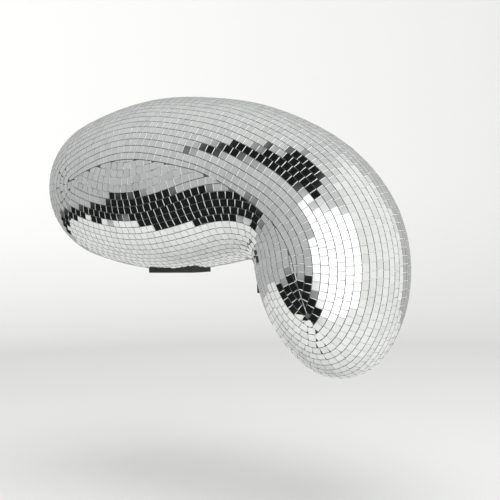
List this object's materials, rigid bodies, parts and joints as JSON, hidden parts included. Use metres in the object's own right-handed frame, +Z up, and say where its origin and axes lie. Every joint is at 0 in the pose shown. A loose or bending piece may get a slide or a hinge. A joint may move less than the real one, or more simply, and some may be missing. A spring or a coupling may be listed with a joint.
{
  "type": "slumped mirror ball",
  "caption": "Slumped mirror ball: a bent round hollow body covered in rows of flat square mirror tiles, lying over the edge of a block on rubber pads.",
  "frame": {"origin": "centre of the flat underside of the seat pad, on the top of the block that the body lies on", "axes": "+Z up, +X from the lying lobe towards the lobe that hangs over the block's side, -Y the front; y = 0 is the plane of symmetry"},
  "size_m": [0.581, 0.2611, 0.4087],
  "materials": {
    "mirror_tile": "flat mirrored glass tiles, bright polished",
    "tile_bed": "dark grey tile adhesive, matt",
    "shell": "moulded glass-fibre resin shell",
    "strap": "glass-fibre resin strap, unpainted",
    "former": "plywood ring",
    "ballast": "rough sand-cast iron",
    "pad_rubber": "moulded grey rubber with a fine skin"
  },
  "bodies": {
    "root": {"ballast": "ballast", "former_hanging": "former", "former_lying": "former", "heel_pad": "pad_rubber", "joint_straps": "strap", "seat_pad": "pad_rubber", "shell_back": "shell", "shell_front": "shell", "tile_bed_back": "tile_bed", "tile_bed_front": "tile_bed", "tiles_back_01": "mirror_tile", "tiles_back_02": "mirror_tile", "tiles_back_03": "mirror_tile", "tiles_back_04": "mirror_tile", "tiles_back_05": "mirror_tile", "tiles_back_06": "mirror_tile", "tiles_back_07": "mirror_tile", "tiles_back_08": "mirror_tile", "tiles_back_09": "mirror_tile", "tiles_back_10": "mirror_tile", "tiles_back_11": "mirror_tile", "tiles_back_12": "mirror_tile", "tiles_back_13": "mirror_tile", "tiles_back_14": "mirror_tile", "tiles_back_15": "mirror_tile", "tiles_back_16": "mirror_tile", "tiles_back_17": "mirror_tile", "tiles_back_flank": "mirror_tile", "tiles_front_01": "mirror_tile", "tiles_front_02": "mirror_tile", "tiles_front_03": "mirror_tile", "tiles_front_04": "mirror_tile", "tiles_front_05": "mirror_tile", "tiles_front_06": "mirror_tile", "tiles_front_07": "mirror_tile", "tiles_front_08": "mirror_tile", "tiles_front_09": "mirror_tile", "tiles_front_10": "mirror_tile", "tiles_front_11": "mirror_tile", "tiles_front_12": "mirror_tile", "tiles_front_13": "mirror_tile", "tiles_front_14": "mirror_tile", "tiles_front_15": "mirror_tile", "tiles_front_16": "mirror_tile", "tiles_front_17": "mirror_tile", "tiles_front_flank": "mirror_tile"}
  },
  "joints": []
}
